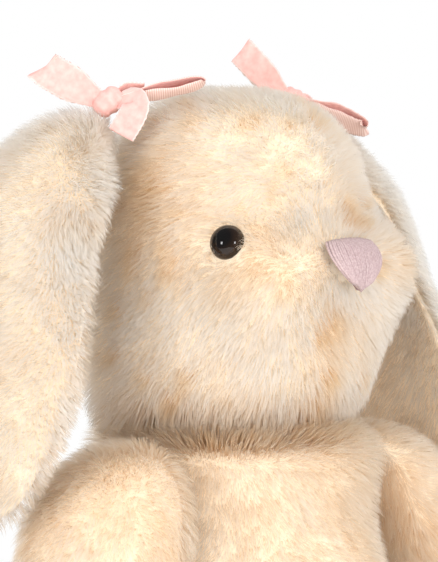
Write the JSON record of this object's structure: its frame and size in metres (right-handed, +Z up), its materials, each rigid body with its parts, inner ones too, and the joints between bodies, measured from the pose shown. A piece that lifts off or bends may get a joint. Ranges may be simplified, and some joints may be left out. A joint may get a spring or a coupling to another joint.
{
  "type": "sitting plush rabbit",
  "caption": "Sitting plush rabbit with hanging ears, ribbon bows, glossy eyes and a stitched nose; head, ears, arms, legs and tail move on soft sewn joints.",
  "frame": {"origin": "on the floor, under the middle of the toy's bounding box", "axes": "+Z up from the seat to the head, -Y the way the face looks, +X the rabbit's own left side"},
  "size_m": [0.218, 0.196, 0.2454],
  "materials": {
    "plush": "long soft pile",
    "filling": "loose polyester fibre",
    "pellets": "woven pouch of plastic pellets",
    "velvet_ribbon": "velvet with a woven back",
    "embroidery": "satin stitch",
    "eye_gloss": "polished dome",
    "washer_plastic": "moulded"
  },
  "bodies": {
    "torso": {"torso_cover": "plush", "torso_stuffing": "filling", "pellet_pouch": "pellets", "seat_panel": "plush"},
    "neck": {"neck_stuffing": "filling"},
    "head": {"head_cover": "plush", "head_stuffing": "filling", "nose_embroidery": "embroidery", "eye_left": "eye_gloss", "eye_washer_left": "washer_plastic", "bow_left_loops": "velvet_ribbon", "bow_left_knot": "velvet_ribbon", "bow_left_tails": "velvet_ribbon", "eye_right": "eye_gloss", "eye_washer_right": "washer_plastic", "bow_right_loops": "velvet_ribbon", "bow_right_knot": "velvet_ribbon", "bow_right_tails": "velvet_ribbon"},
    "ear_left": {"ear_left_outer_panel": "plush", "ear_left_inner_panel": "plush"},
    "arm_left": {"arm_left_cover": "plush", "arm_left_stuffing": "filling"},
    "leg_left": {"leg_left_cover": "plush", "leg_left_stuffing": "filling", "leg_left_sole": "plush"},
    "ear_right": {"ear_right_outer_panel": "plush", "ear_right_inner_panel": "plush"},
    "arm_right": {"arm_right_cover": "plush", "arm_right_stuffing": "filling"},
    "leg_right": {"leg_right_cover": "plush", "leg_right_stuffing": "filling", "leg_right_sole": "plush"},
    "tail": {"tail_cover": "plush", "tail_stuffing": "filling"}
  },
  "joints": [
    {"name": "head_turn", "type": "hinge", "parent": "torso", "child": "neck", "pos_m": [0, 0.0102, 0.1185], "axis": [0, 0, 1], "range_deg": [-10, 10], "stiffness_Nm_per_rad": 1.5},
    {"name": "head_nod", "type": "hinge", "parent": "neck", "child": "head", "pos_m": [0, 0.0102, 0.1185], "axis": [1, 0, 0], "range_deg": [-8, 8], "stiffness_Nm_per_rad": 4},
    {"name": "ear_left_lift", "type": "hinge", "parent": "head", "child": "ear_left", "pos_m": [0.051, 0.0182, 0.2295], "axis": [0, -1, 0], "range_deg": [0, 35]},
    {"name": "ear_right_lift", "type": "hinge", "parent": "head", "child": "ear_right", "pos_m": [-0.051, 0.0182, 0.2295], "axis": [0, 1, 0], "range_deg": [0, 35]},
    {"name": "arm_left_swing", "type": "hinge", "parent": "torso", "child": "arm_left", "pos_m": [0.045, 0.0022, 0.098], "axis": [1, 0, 0], "range_deg": [-30, 25], "stiffness_Nm_per_rad": 0.35},
    {"name": "arm_right_swing", "type": "hinge", "parent": "torso", "child": "arm_right", "pos_m": [-0.045, 0.0022, 0.098], "axis": [1, 0, 0], "range_deg": [-30, 25], "stiffness_Nm_per_rad": 0.35},
    {"name": "leg_left_lift", "type": "hinge", "parent": "torso", "child": "leg_left", "pos_m": [0.034, -0.0328, 0.0255], "axis": [1, 0, 0], "range_deg": [-20, 20], "stiffness_Nm_per_rad": 0.35},
    {"name": "leg_right_lift", "type": "hinge", "parent": "torso", "child": "leg_right", "pos_m": [-0.034, -0.0328, 0.0255], "axis": [1, 0, 0], "range_deg": [-20, 20], "stiffness_Nm_per_rad": 0.35},
    {"name": "tail_wag", "type": "hinge", "parent": "torso", "child": "tail", "pos_m": [0, 0.0662, 0.03], "axis": [0, 0, 1], "range_deg": [-10, 10], "stiffness_Nm_per_rad": 0.05}
  ]
}
